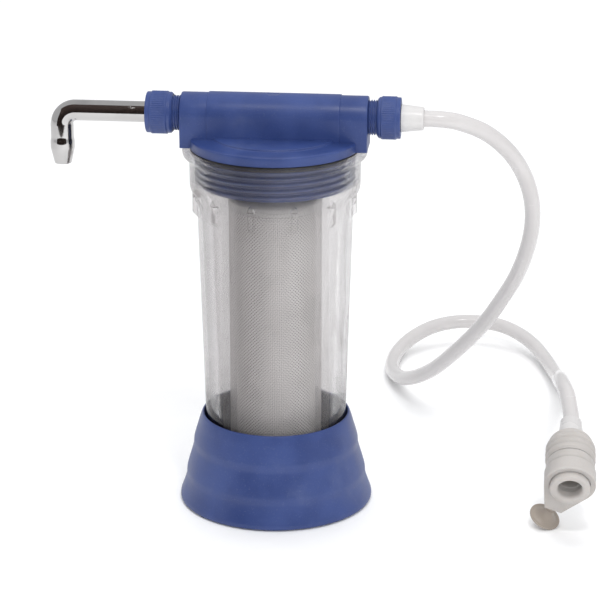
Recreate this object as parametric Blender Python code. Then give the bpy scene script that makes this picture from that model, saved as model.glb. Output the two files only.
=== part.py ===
"""Bench-top carbon cartridge water filter with a tap hose, as an assembly of separate pieces.

Metres, +Z up. The origin is on the bowl's axis, on the surface that the stand rests on. The spout
points to -X and the tap hose leaves the head to +X.
"""

from math import cos, pi, radians, sin, tau

import bmesh
import bpy
from mathutils import Matrix, Vector

# Driving dimensions
GAP = 0.0003  # between touching pieces
SIDES_LARGE = 36
SIDES_SMALL = 20

STAND_FLOOR = 0.003
STAND_WALL = 0.0026
STAND_CONE = ((0.0745, 0.004), (0.0707, 0.0147), (0.0664, 0.035), (0.0621, 0.055), (0.0580, 0.0685))
STAND_RIM_R = 0.0553
STAND_TOP = 0.0706

BOWL_WALL = 0.0034
BOWL_FOOT_R = 0.0523
BOWL_SHOULDER_R = 0.0589
BOWL_SHOULDER_Z = 0.238
BOWL_NECK_R = 0.0645
BOWL_BORE_R = 0.0604
BOWL_LIP_R = 0.0695
BOWL_LIP_Z = 0.281
FIN_COUNT = 12
FIN_TURN = radians(19.5)  # first fin, from -Y towards +X

HEAD_SKIRT_Z = 0.254
HEAD_CREST_R = 0.0599
HEAD_ROOT_R = 0.0578
HEAD_PITCH = 0.0049
HEAD_CRESTS = 4
FLANGE_R = 0.0639
FLANGE_Z = (0.282, 0.2894)
BOSS_R = 0.0471
BOSS_Z = 0.291
SPIGOT_Z = 0.2582

PORT_Z = 0.3054
BARREL_END = 0.070
BARREL_R = 0.0160
BARREL_MIDDLE_R = 0.0167
BARREL_MIDDLE = 0.048
STUB_R = 0.0132  # G 3/4 male thread
STUB_ROOT_R = 0.0122
STUB_PITCH = 0.001814
OUTLET_STUB_END = 0.088
INLET_STUB_END = 0.0868
PORT_BORE_R = 0.0085

NUT_R = 0.0163
NUT_BORE_R = 0.0136
NUT_RIBS = 24
OUTLET_NUT_X = -0.0763
INLET_NUT_X = 0.0768
FERRULE_X = 0.0943
FERRULE_LENGTH = 0.0168

CARTRIDGE_R = 0.0353
CARTRIDGE_CAP_R = 0.0356
BLOCK_R = 0.0336
BLOCK_BORE_R = 0.0138
CARTRIDGE_BOTTOM = 0.0110
CARTRIDGE_TOP = 0.2579

SPOUT_R = 0.0079
SPOUT_LEG_R = 0.0087
SPOUT_WALL = 0.0013
SPOUT_BEND = 0.011
SPOUT_LEG_X = -0.1612
SPOUT_TIP_Z = 0.2645
SPOUT_TIP_R = 0.0064
SPOUT_START = -0.0906
SPOUT_COLLAR = (0.0018, 0.0118)  # length and radius of the collar that the nut holds
SPOUT_SIDES = 16
BEND_STEPS = 5

HOSE_R = 0.00625
TAP_TILT = radians(24)  # the tap socket points down towards -Y by this much
TAP_MOUTH = (0.2275, -0.0650, 0.0422)
CLAMP_TURN = radians(23)  # the clamp's screw leans from straight down towards -X
CLAMP_SCREW_PLACE = 0.0083  # the screw's distance behind the mouth
CLAMP_FOOT = 0.0310
CLAMP_TRAVEL = 0.0035  # how far the screw can be driven in
WHEEL_R = 0.0121
BOOT_END = 0.0510  # the boot's end, where the tail comes out of it
TAIL_END = 0.0680  # the tail's end face, which the hose meets

# The hose leaves the ferrule straight, then takes this route over the table to the tap connector
HOSE_START = (0.1045, 0.0, PORT_Z)
HOSE_POINTS = 47
HOSE_ROUTE = (
    (0.1205, 0.0000, 0.3054), (0.1280, 0.0010, 0.3046), (0.1375, 0.0038, 0.3022), (0.1550, 0.0105, 0.2940),
    (0.1700, 0.0200, 0.2805), (0.1810, 0.0315, 0.2640), (0.1885, 0.0440, 0.2450), (0.1925, 0.0580, 0.2240),
    (0.1925, 0.0715, 0.2010), (0.1885, 0.0865, 0.1765), (0.1810, 0.1000, 0.1520), (0.1700, 0.1140, 0.1280),
    (0.1575, 0.1280, 0.1045), (0.1435, 0.1425, 0.0830), (0.1290, 0.1585, 0.0630), (0.1140, 0.1780, 0.0435),
    (0.0990, 0.2010, 0.0275), (0.0850, 0.2290, 0.0150), (0.0755, 0.2580, 0.0092), (0.0720, 0.2870, 0.0075),
    (0.0755, 0.3165, 0.0086), (0.0865, 0.3415, 0.0125), (0.1035, 0.3600, 0.0168), (0.1235, 0.3700, 0.0190),
    (0.1455, 0.3715, 0.0195), (0.1665, 0.3650, 0.0187), (0.1845, 0.3500, 0.0160), (0.1980, 0.3290, 0.0130),
    (0.2085, 0.3000, 0.0107), (0.2155, 0.2700, 0.0112), (0.2200, 0.2380, 0.0155), (0.2210, 0.2050, 0.0245),
    (0.2205, 0.1700, 0.0390), (0.2190, 0.1350, 0.0535), (0.2188, 0.1000, 0.0680), (0.2195, 0.0700, 0.0777),
    (0.2220, 0.0450, 0.0812), (0.2248, 0.0270, 0.0800),
)


# Materials

def material(name, colour, roughness, metallic=0.0, alpha=1.0):
    found = bpy.data.materials.get(name)
    if found:
        return found
    made = bpy.data.materials.new(name)
    made.use_nodes = True
    shader = made.node_tree.nodes["Principled BSDF"]
    shader.inputs["Base Color"].default_value = (*colour, 1.0)
    shader.inputs["Roughness"].default_value = roughness
    shader.inputs["Metallic"].default_value = metallic
    shader.inputs["Alpha"].default_value = alpha
    return made


def blue_plastic():
    return material("blue_plastic", (0.05, 0.08, 0.30), 0.38)


def clear_plastic():
    return material("clear_plastic", (0.86, 0.88, 0.90), 0.08, alpha=0.35)


def white_plastic():
    return material("white_plastic", (0.78, 0.77, 0.76), 0.40)


def hose_vinyl():
    return material("hose_vinyl", (0.72, 0.70, 0.70), 0.32)


def pale_rubber():
    return material("pale_rubber", (0.62, 0.60, 0.58), 0.65)


def black_rubber():
    return material("black_rubber", (0.03, 0.03, 0.03), 0.60)


def net_plastic():
    return material("net_plastic", (0.62, 0.62, 0.60), 0.55)


def carbon():
    return material("carbon", (0.03, 0.03, 0.032), 0.90)


def chrome():
    return material("chrome", (0.80, 0.80, 0.80), 0.08, metallic=1.0)


def brass():
    return material("brass", (0.62, 0.45, 0.18), 0.30, metallic=1.0)


def tan_plastic():
    return material("tan_plastic", (0.55, 0.50, 0.44), 0.50)


# Shapes

def finish(name, mesh_maker, surface, parent=None):
    """A named object from a filled bmesh, smooth on its round faces."""
    mesh = bpy.data.meshes.new(name)
    mesh_maker.to_mesh(mesh)
    mesh_maker.free()
    mesh.shade_smooth()
    mesh.set_sharp_from_angle(angle=radians(32))
    if surface:
        mesh.materials.append(surface)
    made = bpy.data.objects.new(name, mesh)
    bpy.context.scene.collection.objects.link(made)
    made.parent = parent
    return made


def spin_outline(bm, outline, sides, closed):
    """Turns an outline of (radius, height) points round Z; an open outline starts and ends on the axis."""
    points = [bm.verts.new((radius, 0.0, height)) for radius, height in outline]
    pairs = list(zip(points, points[1:]))
    if closed:
        pairs.append((points[-1], points[0]))
    edges = [bm.edges.new(pair) for pair in pairs]
    bmesh.ops.spin(bm, geom=points + edges, cent=(0, 0, 0), axis=(0, 0, 1), angle=tau, steps=sides,
                   use_merge=True, use_duplicate=False)
    bmesh.ops.remove_doubles(bm, verts=bm.verts, dist=1e-6)
    bmesh.ops.dissolve_degenerate(bm, dist=1e-7, edges=bm.edges)
    bmesh.ops.recalc_face_normals(bm, faces=bm.faces)


def turned(name, outline, surface, sides=SIDES_SMALL, parent=None, matrix=None):
    """A solid of revolution. An outline whose ends lie on the axis is a solid one; others are rings."""
    bm = bmesh.new()
    on_axis = outline[0][0] == 0.0 and outline[-1][0] == 0.0
    spin_outline(bm, outline, sides, closed=not on_axis)
    if matrix:
        bmesh.ops.transform(bm, matrix=matrix, verts=bm.verts)
    return finish(name, bm, surface, parent)


def ring(inner, outer, low, high):
    return [(outer, high), (outer, low), (inner, low), (inner, high)]


def rod(radius, low, high):
    return [(0.0, high), (radius, high), (radius, low), (0.0, low)]


def quarter(centre_r, centre_z, radius, start, end, steps=3):
    """Points of an arc in the (radius, height) plane, angles in degrees from +radius."""
    turns = [radians(start + (end - start) * i / steps) for i in range(steps + 1)]
    return [(centre_r + radius * cos(t), centre_z + radius * sin(t)) for t in turns]


def crests(first, pitch, count, root, crest):
    """Rounded-off thread crests drawn as ridges, from the top one down."""
    outline = []
    for i in reversed(range(count)):
        z = first + i * pitch
        outline += [(root, z + 0.36 * pitch), (crest, z + 0.14 * pitch),
                    (crest, z - 0.14 * pitch), (root, z - 0.36 * pitch)]
    return outline


def along_x(x, direction):
    """Carries +Z onto +X or -X, with height 0 at the place x on the ports' axis."""
    turn = Matrix.Rotation(direction * pi / 2, 4, "Y")
    return Matrix.Translation((x, 0.0, PORT_Z)) @ turn


def block(bm, low, high):
    """An axis-aligned box added to a bmesh; returns its vertices."""
    made = bmesh.ops.create_cube(bm, size=1.0)["verts"]
    size = [b - a for a, b in zip(low, high)]
    middle = [(a + b) / 2 for a, b in zip(low, high)]
    bmesh.ops.scale(bm, vec=size, verts=made)
    bmesh.ops.translate(bm, vec=middle, verts=made)
    return made


def as_cutter(made):
    made.hide_render = True
    made.display_type = "WIRE"
    return made


def combine(target, tool, operation):
    """Joins or cuts the target with a helper object, which stays hidden."""
    as_cutter(tool)
    step = target.modifiers.new(operation.lower() + "_" + tool.name, "BOOLEAN")
    step.operation = operation
    step.solver = "EXACT"
    step.object = tool


def bent_pipe(stations, sides):
    """A closed skin of rings along stations of (point, direction, radius) that lie in the X-Z plane."""
    bm = bmesh.new()
    rings = []
    for point, direction, radius in stations:
        across = Vector((direction[2], 0.0, -direction[0]))
        turns = [tau * i / sides for i in range(sides)]
        rings.append([bm.verts.new(Vector(point) + radius * (across * cos(t) + Vector((0, 1, 0)) * sin(t)))
                      for t in turns])
    for first, second in zip(rings, rings[1:] + rings[:1]):
        for i in range(sides):
            j = (i + 1) % sides
            bm.faces.new((first[i], first[j], second[j], second[i]))
    bmesh.ops.triangulate(bm, faces=bm.faces)
    bmesh.ops.recalc_face_normals(bm, faces=bm.faces)
    return bm


# The stand, the bowl and the cartridge

def make_stand():
    foot = STAND_CONE[0]
    edge = 0.004
    outer = [(0.0, 0.0), (foot[0] - edge, 0.0)] + quarter(foot[0] - edge, edge, edge, -60, 0, 2)
    outer += list(STAND_CONE[1:])
    rim = [(STAND_RIM_R + 0.0018, STAND_TOP), (STAND_RIM_R + 0.0004, STAND_TOP - 0.0004),
           (STAND_RIM_R, STAND_TOP - 0.002)]
    inner = [(radius - STAND_WALL, height) for radius, height in reversed(STAND_CONE[1:-1])]
    inner += [(foot[0] - 0.0045, STAND_FLOOR)]
    seat_r = BOWL_FOOT_R + 0.0012
    seat = [(seat_r + 0.0024, STAND_FLOOR), (seat_r + 0.0024, 0.012), (seat_r, 0.012), (seat_r, STAND_FLOOR)]
    turned("stand", outer + rim + inner + seat + [(0.0, STAND_FLOOR)], blue_plastic(), SIDES_LARGE)


def bowl_outline():
    foot_z = STAND_FLOOR + GAP
    outer = [(0.0, foot_z), (BOWL_FOOT_R - 0.008, foot_z)]
    outer += quarter(BOWL_FOOT_R - 0.008, foot_z + 0.008, 0.008, -60, 0, 2)
    outer += [(BOWL_SHOULDER_R, BOWL_SHOULDER_Z), (BOWL_SHOULDER_R + 0.0014, 0.243),
              (BOWL_NECK_R - 0.0007, 0.2502), (BOWL_NECK_R, 0.272), (BOWL_NECK_R + 0.0012, 0.2742),
              (BOWL_LIP_R - 0.0010, 0.2762), (BOWL_LIP_R, 0.2782), (BOWL_LIP_R, BOWL_LIP_Z - 0.0008),
              (BOWL_LIP_R - 0.0008, BOWL_LIP_Z)]
    rebate = [(BOWL_BORE_R + 0.0034, BOWL_LIP_Z), (BOWL_BORE_R + 0.0034, BOWL_LIP_Z - 0.003),
              (BOWL_BORE_R, BOWL_LIP_Z - 0.003)]
    wall_in = BOWL_SHOULDER_R - BOWL_WALL
    floor_z = foot_z + BOWL_WALL + 0.0004
    inner = [(BOWL_BORE_R, 0.2515), (wall_in, 0.2430), (wall_in, BOWL_SHOULDER_Z - 0.002)]
    inner += list(reversed(quarter(BOWL_FOOT_R - BOWL_WALL - 0.006, floor_z + 0.006, 0.006, -90, 0, 2)))
    spigot = [(0.0165, floor_z), (0.0165, CARTRIDGE_BOTTOM - GAP), (0.0135, CARTRIDGE_BOTTOM - GAP),
              (0.0135, floor_z)]
    return outer + rebate + inner + spigot + [(0.0, floor_z)]


def make_fins():
    """Twelve upright fins under the bowl's shoulder, chamfered at the foot."""
    bm = bmesh.new()
    for i in range(FIN_COUNT):
        made = block(bm, (-0.0017, 0.0575, 0.2300), (0.0017, 0.0632, 0.2512))
        for vert in made:
            if vert.co.z < 0.24 and vert.co.y > 0.06:
                vert.co.y -= 0.0042
        turn = pi + FIN_TURN + i * tau / FIN_COUNT
        bmesh.ops.rotate(bm, cent=(0, 0, 0), matrix=Matrix.Rotation(turn, 3, "Z"), verts=made)
    bmesh.ops.recalc_face_normals(bm, faces=bm.faces)
    return finish("bowl_fins_tool", bm, None)


def make_bowl(parent):
    bowl = turned("bowl", bowl_outline(), clear_plastic(), SIDES_LARGE, parent)
    combine(bowl, make_fins(), "UNION")


def make_cartridge(parent):
    gasket = 0.003
    low = CARTRIDGE_BOTTOM + gasket + GAP
    cap_top = CARTRIDGE_TOP - 0.0036 - GAP
    net_top = 0.2355
    turned("bottom_gasket", ring(0.0095, 0.0190, CARTRIDGE_BOTTOM, low - GAP), black_rubber(), parent=parent)
    skirt = low + 0.0125
    bottom = [(CARTRIDGE_CAP_R, skirt), (CARTRIDGE_CAP_R, low + 0.001), (CARTRIDGE_CAP_R - 0.001, low),
              (0.0095, low), (0.0095, low + 0.003), (BLOCK_R + GAP, low + 0.003), (BLOCK_R + GAP, skirt)]
    turned("bottom_cap", bottom, white_plastic(), SIDES_LARGE, parent)
    turned("carbon_block", ring(BLOCK_BORE_R, BLOCK_R, low + 0.003 + GAP, 0.2412), carbon(), SIDES_LARGE,
           parent)
    turned("core_tube", ring(BLOCK_BORE_R - GAP - 0.0018, BLOCK_BORE_R - GAP, low + 0.003 + GAP, 0.2412),
           white_plastic(), parent=parent)
    turned("net_sleeve", ring(BLOCK_R + GAP, CARTRIDGE_R, skirt + GAP, net_top - GAP), net_plastic(),
           SIDES_LARGE, parent)
    top = [(0.0215, cap_top), (0.0235, cap_top - 0.0015), (0.0262, 0.2455),
           (CARTRIDGE_CAP_R - 0.0015, 0.2430), (CARTRIDGE_CAP_R, 0.2415),
           (CARTRIDGE_CAP_R, net_top), (BLOCK_R + GAP, net_top),
           (BLOCK_R + GAP, 0.2412 + GAP), (0.0095, 0.2412 + GAP), (0.0095, cap_top)]
    turned("top_cap", top, white_plastic(), SIDES_LARGE, parent)
    turned("top_gasket", ring(0.0095, 0.0190, cap_top + GAP, CARTRIDGE_TOP), black_rubber(), parent=parent)


# The head

def head_outline():
    skirt = HEAD_SKIRT_Z
    low, high = FLANGE_Z
    edge = 0.001
    outer = [(BOSS_R, BOSS_Z), (BOSS_R, high), (FLANGE_R - edge, high), (FLANGE_R, high - edge),
             (FLANGE_R, low + edge), (FLANGE_R - edge, low), (HEAD_CREST_R, low),
             (HEAD_CREST_R, 0.2755), (HEAD_ROOT_R, 0.2748)]
    outer += crests(skirt + 0.0034, HEAD_PITCH, HEAD_CRESTS, HEAD_ROOT_R, HEAD_CREST_R)
    outer += [(HEAD_ROOT_R, skirt + 0.0008), (HEAD_ROOT_R - 0.0008, skirt)]
    inner = [(0.0538, skirt), (0.0530, 0.2835), (0.0155, 0.2835), (0.0145, SPIGOT_Z + 0.002),
             (0.0130, SPIGOT_Z)]
    return [(0.0, BOSS_Z)] + outer + inner + [(0.0, SPIGOT_Z)]


def barrel_body(bm, half_length, radius, low):
    """A run along X with a half-round top and straight sides down to the height low."""
    arc = [radians(180 * i / 12) for i in range(13)]
    section = [(radius, low)] + [(radius * cos(t), PORT_Z + radius * sin(t)) for t in arc] + [(-radius, low)]
    verts = [bm.verts.new((-half_length, y, z)) for y, z in section]
    face = bm.faces.new(verts)
    grown = bmesh.ops.extrude_face_region(bm, geom=[face])["geom"]
    moved = [item for item in grown if isinstance(item, bmesh.types.BMVert)]
    bmesh.ops.translate(bm, vec=(2 * half_length, 0, 0), verts=moved)
    bmesh.ops.recalc_face_normals(bm, faces=bm.faces)


def make_barrel(name, half_length, radius, low):
    bm = bmesh.new()
    barrel_body(bm, half_length, radius, low)
    return finish(name, bm, None)


def stub_outline(end):
    """A pipe stub with its thread crests, height 0 at the barrel's end."""
    length = end - BARREL_END
    outline = [(0.0, length), (STUB_R - 0.0012, length), (STUB_R - 0.0004, length - 0.001)]
    outline += [(STUB_R - 0.0002, 0.0075)]
    outline += crests(0.0020, STUB_PITCH, 3, STUB_ROOT_R, STUB_R)
    return outline + [(STUB_ROOT_R, -0.004), (0.0, -0.004)]


def make_head(parent):
    head = turned("head", head_outline(), blue_plastic(), SIDES_LARGE, parent)
    barrel = make_barrel("head_barrel_tool", BARREL_END, BARREL_R, FLANGE_Z[0] + 0.0002)
    middle = make_barrel("head_middle_tool", BARREL_MIDDLE, BARREL_MIDDLE_R, FLANGE_Z[1] - 0.002)
    combine(head, barrel, "UNION")
    combine(head, middle, "UNION")
    for side, direction, end in (("outlet", -1, OUTLET_STUB_END), ("inlet", 1, INLET_STUB_END)):
        stub = turned("head_" + side + "_stub_tool", stub_outline(end), None,
                      matrix=along_x(direction * BARREL_END, direction))
        combine(head, stub, "UNION")
    bores = (
        ("head_core_bore_tool", rod(0.0075, 0.25, PORT_Z + 0.0012), Matrix(), 3),
        ("head_feed_bore_tool", rod(0.006, 0.278, PORT_Z + 0.0008), Matrix.Translation((0.0352, 0, 0)), 5),
        ("head_outlet_bore_tool", rod(PORT_BORE_R, -0.012, 0.10), along_x(0.0, -1), 7),
        ("head_inlet_bore_tool", rod(PORT_BORE_R - 0.001, 0.028, 0.10), along_x(0.0, 1), 8),
    )
    for name, outline, matrix, turn in bores:
        matrix = matrix @ Matrix.Rotation(radians(turn), 4, "Z")
        combine(head, turned(name, outline, None, SIDES_SMALL - 8, matrix=matrix), "DIFFERENCE")


def make_bowl_seal(parent):
    turned("bowl_seal", ring(HEAD_CREST_R + 0.0008, BOWL_BORE_R + 0.0031, BOWL_LIP_Z - 0.003 + GAP,
                             FLANGE_Z[0] - GAP), black_rubber(), SIDES_LARGE, parent)


# The ports' couplings

def knurled_nut(name, length, band, lip_bore, lip, matrix, parent):
    """A coupling nut: an axially ribbed band between two plain ends, with a lip at its outer end."""
    root = NUT_R - 0.0009
    bm = bmesh.new()
    outline = [(root - 0.0005, length), (root, length - 0.001), (root, band[1]), (root, band[0]),
               (root, 0.001), (root - 0.0005, 0.0), (NUT_BORE_R, 0.0), (NUT_BORE_R, length - lip),
               (lip_bore, length - lip), (lip_bore, length)]
    spin_outline(bm, outline, NUT_RIBS * 2, closed=True)
    for vert in bm.verts:
        spoke = vert.co.xy
        reach = spoke.length
        step = round((spoke.angle_signed(Vector((1, 0)), 0.0) % tau) * NUT_RIBS * 2 / tau)
        on_band = band[0] - 1e-5 < vert.co.z < band[1] + 1e-5 and reach > root - 1e-5
        if on_band and step % 2 == 0:
            vert.co.x *= NUT_R / root
            vert.co.y *= NUT_R / root
    bmesh.ops.recalc_face_normals(bm, faces=bm.faces)
    bmesh.ops.transform(bm, matrix=matrix, verts=bm.verts)
    return finish(name, bm, blue_plastic(), parent)


def spout_path():
    """The centre line of the spout, as (point, direction, radius): out along -X, round a bend, and down."""
    bend_x = SPOUT_LEG_X + SPOUT_BEND
    bend_z = PORT_Z - SPOUT_BEND
    path = [((SPOUT_START, 0, PORT_Z), (-1, 0, 0), SPOUT_R), ((bend_x, 0, PORT_Z), (-1, 0, 0), SPOUT_R)]
    for i in range(1, BEND_STEPS):
        t = pi / 2 * i / BEND_STEPS
        grown = SPOUT_R + (SPOUT_LEG_R - SPOUT_R) * i / BEND_STEPS
        path.append(((bend_x - SPOUT_BEND * sin(t), 0, bend_z + SPOUT_BEND * cos(t)),
                     (-cos(t), 0, -sin(t)), grown))
    leg = ((bend_z, SPOUT_LEG_R), (0.2830, SPOUT_LEG_R), (0.2818, SPOUT_LEG_R + 0.0006),
           (0.2762, SPOUT_LEG_R + 0.0006), (SPOUT_TIP_Z, SPOUT_TIP_R))
    return path + [((SPOUT_LEG_X, 0, z), (0, 0, -1), radius) for z, radius in leg]


def make_spout(parent):
    outer = spout_path()
    inner = [(point, direction, radius - SPOUT_WALL) for point, direction, radius in reversed(outer)]
    length, radius = SPOUT_COLLAR
    start = (SPOUT_START, 0, PORT_Z)
    end = (SPOUT_START - length, 0, PORT_Z)
    collar = [(start, (-1, 0, 0), radius), (end, (-1, 0, 0), radius), (end, (-1, 0, 0), SPOUT_R)]
    return finish("spout", bent_pipe(collar + outer[1:] + inner, SPOUT_SIDES), chrome(), parent)


def make_outlet(axis):
    turned("outlet_washer", ring(0.0080, 0.0126, 0.0, 0.0020), black_rubber(), parent=axis,
           matrix=along_x(-OUTLET_STUB_END - GAP, -1))
    slip_ring = SPOUT_START - SPOUT_COLLAR[0] - GAP
    turned("outlet_slip_ring", ring(SPOUT_R + GAP, 0.0126, 0.0, 0.0010), white_plastic(), parent=axis,
           matrix=along_x(slip_ring, -1))
    place = along_x(OUTLET_NUT_X, -1)
    knurled_nut("outlet_nut", 0.0198, (0.0040, 0.0158), SPOUT_R + GAP, 0.0021, place, axis)
    make_spout(axis)


def tail_outline():
    """The hose tail, height 0 at its flange's face: a flange, then a barbed stem with a bore."""
    flange = [(0.0125, 0.002), (0.0125, 0.0), (0.0030, 0.0), (0.0030, 0.0146)]
    barbs = []
    for i in range(3):
        z = 0.0142 - i * 0.0033
        barbs += [(0.0040, z), (0.0047, z - 0.0026)]
    return flange + barbs + [(0.0038, 0.0045), (0.0038, 0.002)]


def make_inlet(axis):
    tail_x = INLET_STUB_END + 0.0020 + 2 * GAP
    turned("inlet_washer", ring(0.0060, 0.0126, 0.0, 0.0020), black_rubber(), parent=axis,
           matrix=along_x(INLET_STUB_END + GAP, 1))
    turned("hose_tail", tail_outline(), white_plastic(), parent=axis, matrix=along_x(tail_x, 1))
    place = along_x(INLET_NUT_X, 1)
    knurled_nut("inlet_nut", 0.0172, (0.0032, 0.0134), 0.0072, 0.0022, place, axis)
    bore = HOSE_R + 0.0007
    ferrule = [(0.0080, FERRULE_LENGTH), (0.0087, FERRULE_LENGTH - 0.001), (0.0104, 0.0), (bore, 0.0),
               (bore, FERRULE_LENGTH)]
    turned("hose_ferrule", ferrule, white_plastic(), parent=axis, matrix=along_x(FERRULE_X, 1))


# The hose

def smooth_route(points, count):
    """Evenly spaced points of a uniform Catmull-Rom curve through the route."""
    knots = [Vector(p) for p in points]
    knots = [2 * knots[0] - knots[1]] + knots + [2 * knots[-1] - knots[-2]]
    fine = []
    for a, b, c, d in zip(knots, knots[1:], knots[2:], knots[3:]):
        for i in range(12):
            t = i / 12
            fine.append(0.5 * (2 * b + (c - a) * t + (2 * a - 5 * b + 4 * c - d) * t ** 2
                               + (3 * b - a - 3 * c + d) * t ** 3))
    fine.append(knots[-2])
    run = [0.0]
    for a, b in zip(fine, fine[1:]):
        run.append(run[-1] + (b - a).length)
    picked = []
    j = 0
    for i in range(count):
        target = run[-1] * i / (count - 1)
        while j < len(run) - 2 and run[j + 1] < target:
            j += 1
        share = (target - run[j]) / (run[j + 1] - run[j])
        picked.append(fine[j].lerp(fine[j + 1], share))
    return picked


def make_hose():
    curve = bpy.data.curves.new("tap_hose", "CURVE")
    curve.dimensions = "3D"
    curve.bevel_depth = HOSE_R
    curve.bevel_resolution = 2
    curve.render_resolution_u = 0
    curve.use_fill_caps = True
    route = list(HOSE_ROUTE) + [tuple(tap_point(along)) for along in (0.0750, TAIL_END + GAP)]
    points = [Vector(HOSE_START)] + smooth_route(route, HOSE_POINTS)
    spline = curve.splines.new("POLY")
    spline.points.add(len(points) - 1)
    for slot, point in zip(spline.points, points):
        slot.co = (*point, 1.0)
    curve.materials.append(hose_vinyl())
    made = bpy.data.objects.new("tap_hose", curve)
    bpy.context.scene.collection.objects.link(made)


# The tap connector. Its own +Z runs from the mouth back towards the hose, and +Y is its underside.

def tap_frame():
    """From the connector's own axes to the world: +Z away from the mouth, tilted up towards +Y."""
    return Matrix.Translation(TAP_MOUTH) @ Matrix.Rotation(TAP_TILT - pi / 2, 4, "X")


def tap_point(along):
    return tap_frame() @ Vector((0, 0, along))


def clamp_frame(along):
    """From the clamp screw's own axes, +Z outwards, to the connector's."""
    turn = Matrix.Rotation(CLAMP_TURN, 4, "Z") @ Matrix.Rotation(-pi / 2, 4, "X")
    return Matrix.Translation((0, 0, along)) @ turn


def boot_outline():
    dome = [(0.0094, BOOT_END), (0.0135, 0.0486), (0.0168, 0.0445), (0.0187, 0.0405), (0.0194, 0.0370),
            (0.0192, 0.0335), (0.0183, 0.0295), (0.0181, 0.0268)]
    sleeve = [(0.0148, 0.0268), (0.0148, 0.0018), (0.0163, 0.0010), (0.0163, -0.0015), (0.0148, -0.0030)]
    socket = [(0.0102, -0.0030), (0.0093, -0.0018), (0.0096, 0.0300), (0.0070, 0.0340), (0.0054, 0.0360),
              (0.0054, BOOT_END)]
    return dome + sleeve + socket


def clamp_plate(low, high):
    """The clamp's plate: round over the socket, with two flanks drawn in to a narrow foot."""
    band_r = 0.0194
    half_foot = 0.0068
    bm = bmesh.new()
    arc = [radians(155 + 230 * i / 14) for i in range(15)]
    outline = [(band_r * cos(t), band_r * sin(t)) for t in arc]
    outline += [(half_foot, CLAMP_FOOT), (-half_foot, CLAMP_FOOT)]
    face = bm.faces.new([bm.verts.new((x, y, low)) for x, y in outline])
    grown = bmesh.ops.extrude_face_region(bm, geom=[face])["geom"]
    moved = [item for item in grown if isinstance(item, bmesh.types.BMVert)]
    bmesh.ops.translate(bm, vec=(0, 0, high - low), verts=moved)
    bmesh.ops.rotate(bm, cent=(0, 0, 0), matrix=Matrix.Rotation(CLAMP_TURN, 3, "Z"), verts=bm.verts)
    bmesh.ops.recalc_face_normals(bm, faces=bm.faces)
    return bm


def make_clamp(tap, frame):
    band = [(0.0191, 0.0030), (0.0197, 0.0036), (0.0197, 0.0240), (0.0187, 0.0264), (0.0160, 0.0264),
            (0.0160, 0.0030)]
    clamp = turned("tap_clamp", band, white_plastic(), parent=tap)
    plate = finish("clamp_plate_tool", clamp_plate(0.0020, 0.0146), None, tap)
    combine(clamp, plate, "UNION")
    cuts = (
        ("clamp_bore_tool", rod(0.0152, -0.01, 0.04), None),
        ("clamp_pocket_tool", rod(0.0050, 0.0100, 0.0250), frame),
        ("clamp_seat_tool", rod(0.0052, 0.0230, CLAMP_FOOT + 0.002), frame),
    )
    for name, outline, matrix in cuts:
        combine(clamp, turned(name, outline, None, SIDES_SMALL, tap, matrix), "DIFFERENCE")


def make_tap_connector(tap, screw_axis):
    turned("tap_boot", boot_outline(), pale_rubber(), parent=tap)
    face = BOOT_END + GAP
    seat = 0.0538
    tail = [(0.0084, TAIL_END), (0.0093, 0.0560), (0.0093, face), (0.0051, face), (0.0051, 0.0410),
            (0.0030, 0.0410), (0.0030, 0.0661), (0.0044, 0.0661), (0.0044, seat), (HOSE_R + 0.0004, seat),
            (HOSE_R + 0.0004, TAIL_END)]
    turned("tap_tail", tail, white_plastic(), parent=tap)
    frame = clamp_frame(CLAMP_SCREW_PLACE)
    make_clamp(tap, frame)
    turned("clamp_nut", ring(0.0034, 0.0049, 0.0234, CLAMP_FOOT - 0.0005), brass(), 16, tap, frame)
    pad = [(0.0, 0.0225), (0.0046, 0.0225), (0.0046, 0.0198), (0.0, 0.0190)]
    turned("pressure_pad", pad, white_plastic(), 16, screw_axis)
    wheel = CLAMP_FOOT + 0.0139
    shank_end = CLAMP_FOOT + CLAMP_TRAVEL + 0.0006
    screw = [(0.0, 0.0228), (0.0030, 0.0228), (0.0030, shank_end), (0.0038, shank_end + 0.0008),
             (0.0068, wheel - 0.001), (0.0090, wheel), (WHEEL_R, wheel), (WHEEL_R, wheel + 0.0014),
             (0.0090, wheel + 0.0018), (0.0, wheel + 0.0018)]
    turned("clamp_screw", screw, tan_plastic(), SIDES_SMALL, screw_axis)


# Assembly

def axis_empty(name, place=(0, 0, 0)):
    made = bpy.data.objects.new(name, None)
    made.location = place
    bpy.context.scene.collection.objects.link(made)
    return made


def settle(axis):
    """Parents keep the places that their meshes already have in the world."""
    for child in axis.children:
        child.matrix_parent_inverse = axis.matrix_world.inverted()


def main():
    for made in list(bpy.data.objects):
        bpy.data.objects.remove(made, do_unlink=True)
    bowl_axis = axis_empty("bowl_axis")
    head_axis = axis_empty("head_axis")
    outlet_axis = axis_empty("outlet_axis", (0, 0, PORT_Z))
    inlet_axis = axis_empty("inlet_axis", (0, 0, PORT_Z))
    tap = axis_empty("tap_axis")
    tap.matrix_world = tap_frame()
    screw_axis = axis_empty("clamp_screw_axis")
    screw_axis.matrix_world = tap_frame() @ clamp_frame(CLAMP_SCREW_PLACE)
    make_stand()
    make_bowl(bowl_axis)
    make_cartridge(bowl_axis)
    make_head(head_axis)
    make_bowl_seal(head_axis)
    make_outlet(outlet_axis)
    make_inlet(inlet_axis)
    make_hose()
    make_tap_connector(tap, screw_axis)
    bpy.context.view_layer.update()
    for axis in (outlet_axis, inlet_axis):
        settle(axis)
    bpy.context.view_layer.update()


main()
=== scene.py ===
from math import acos, atan2, cos, hypot, pi, radians, sin, tau

import bmesh
import bpy
import numpy as np
from mathutils import Matrix, Vector


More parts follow.
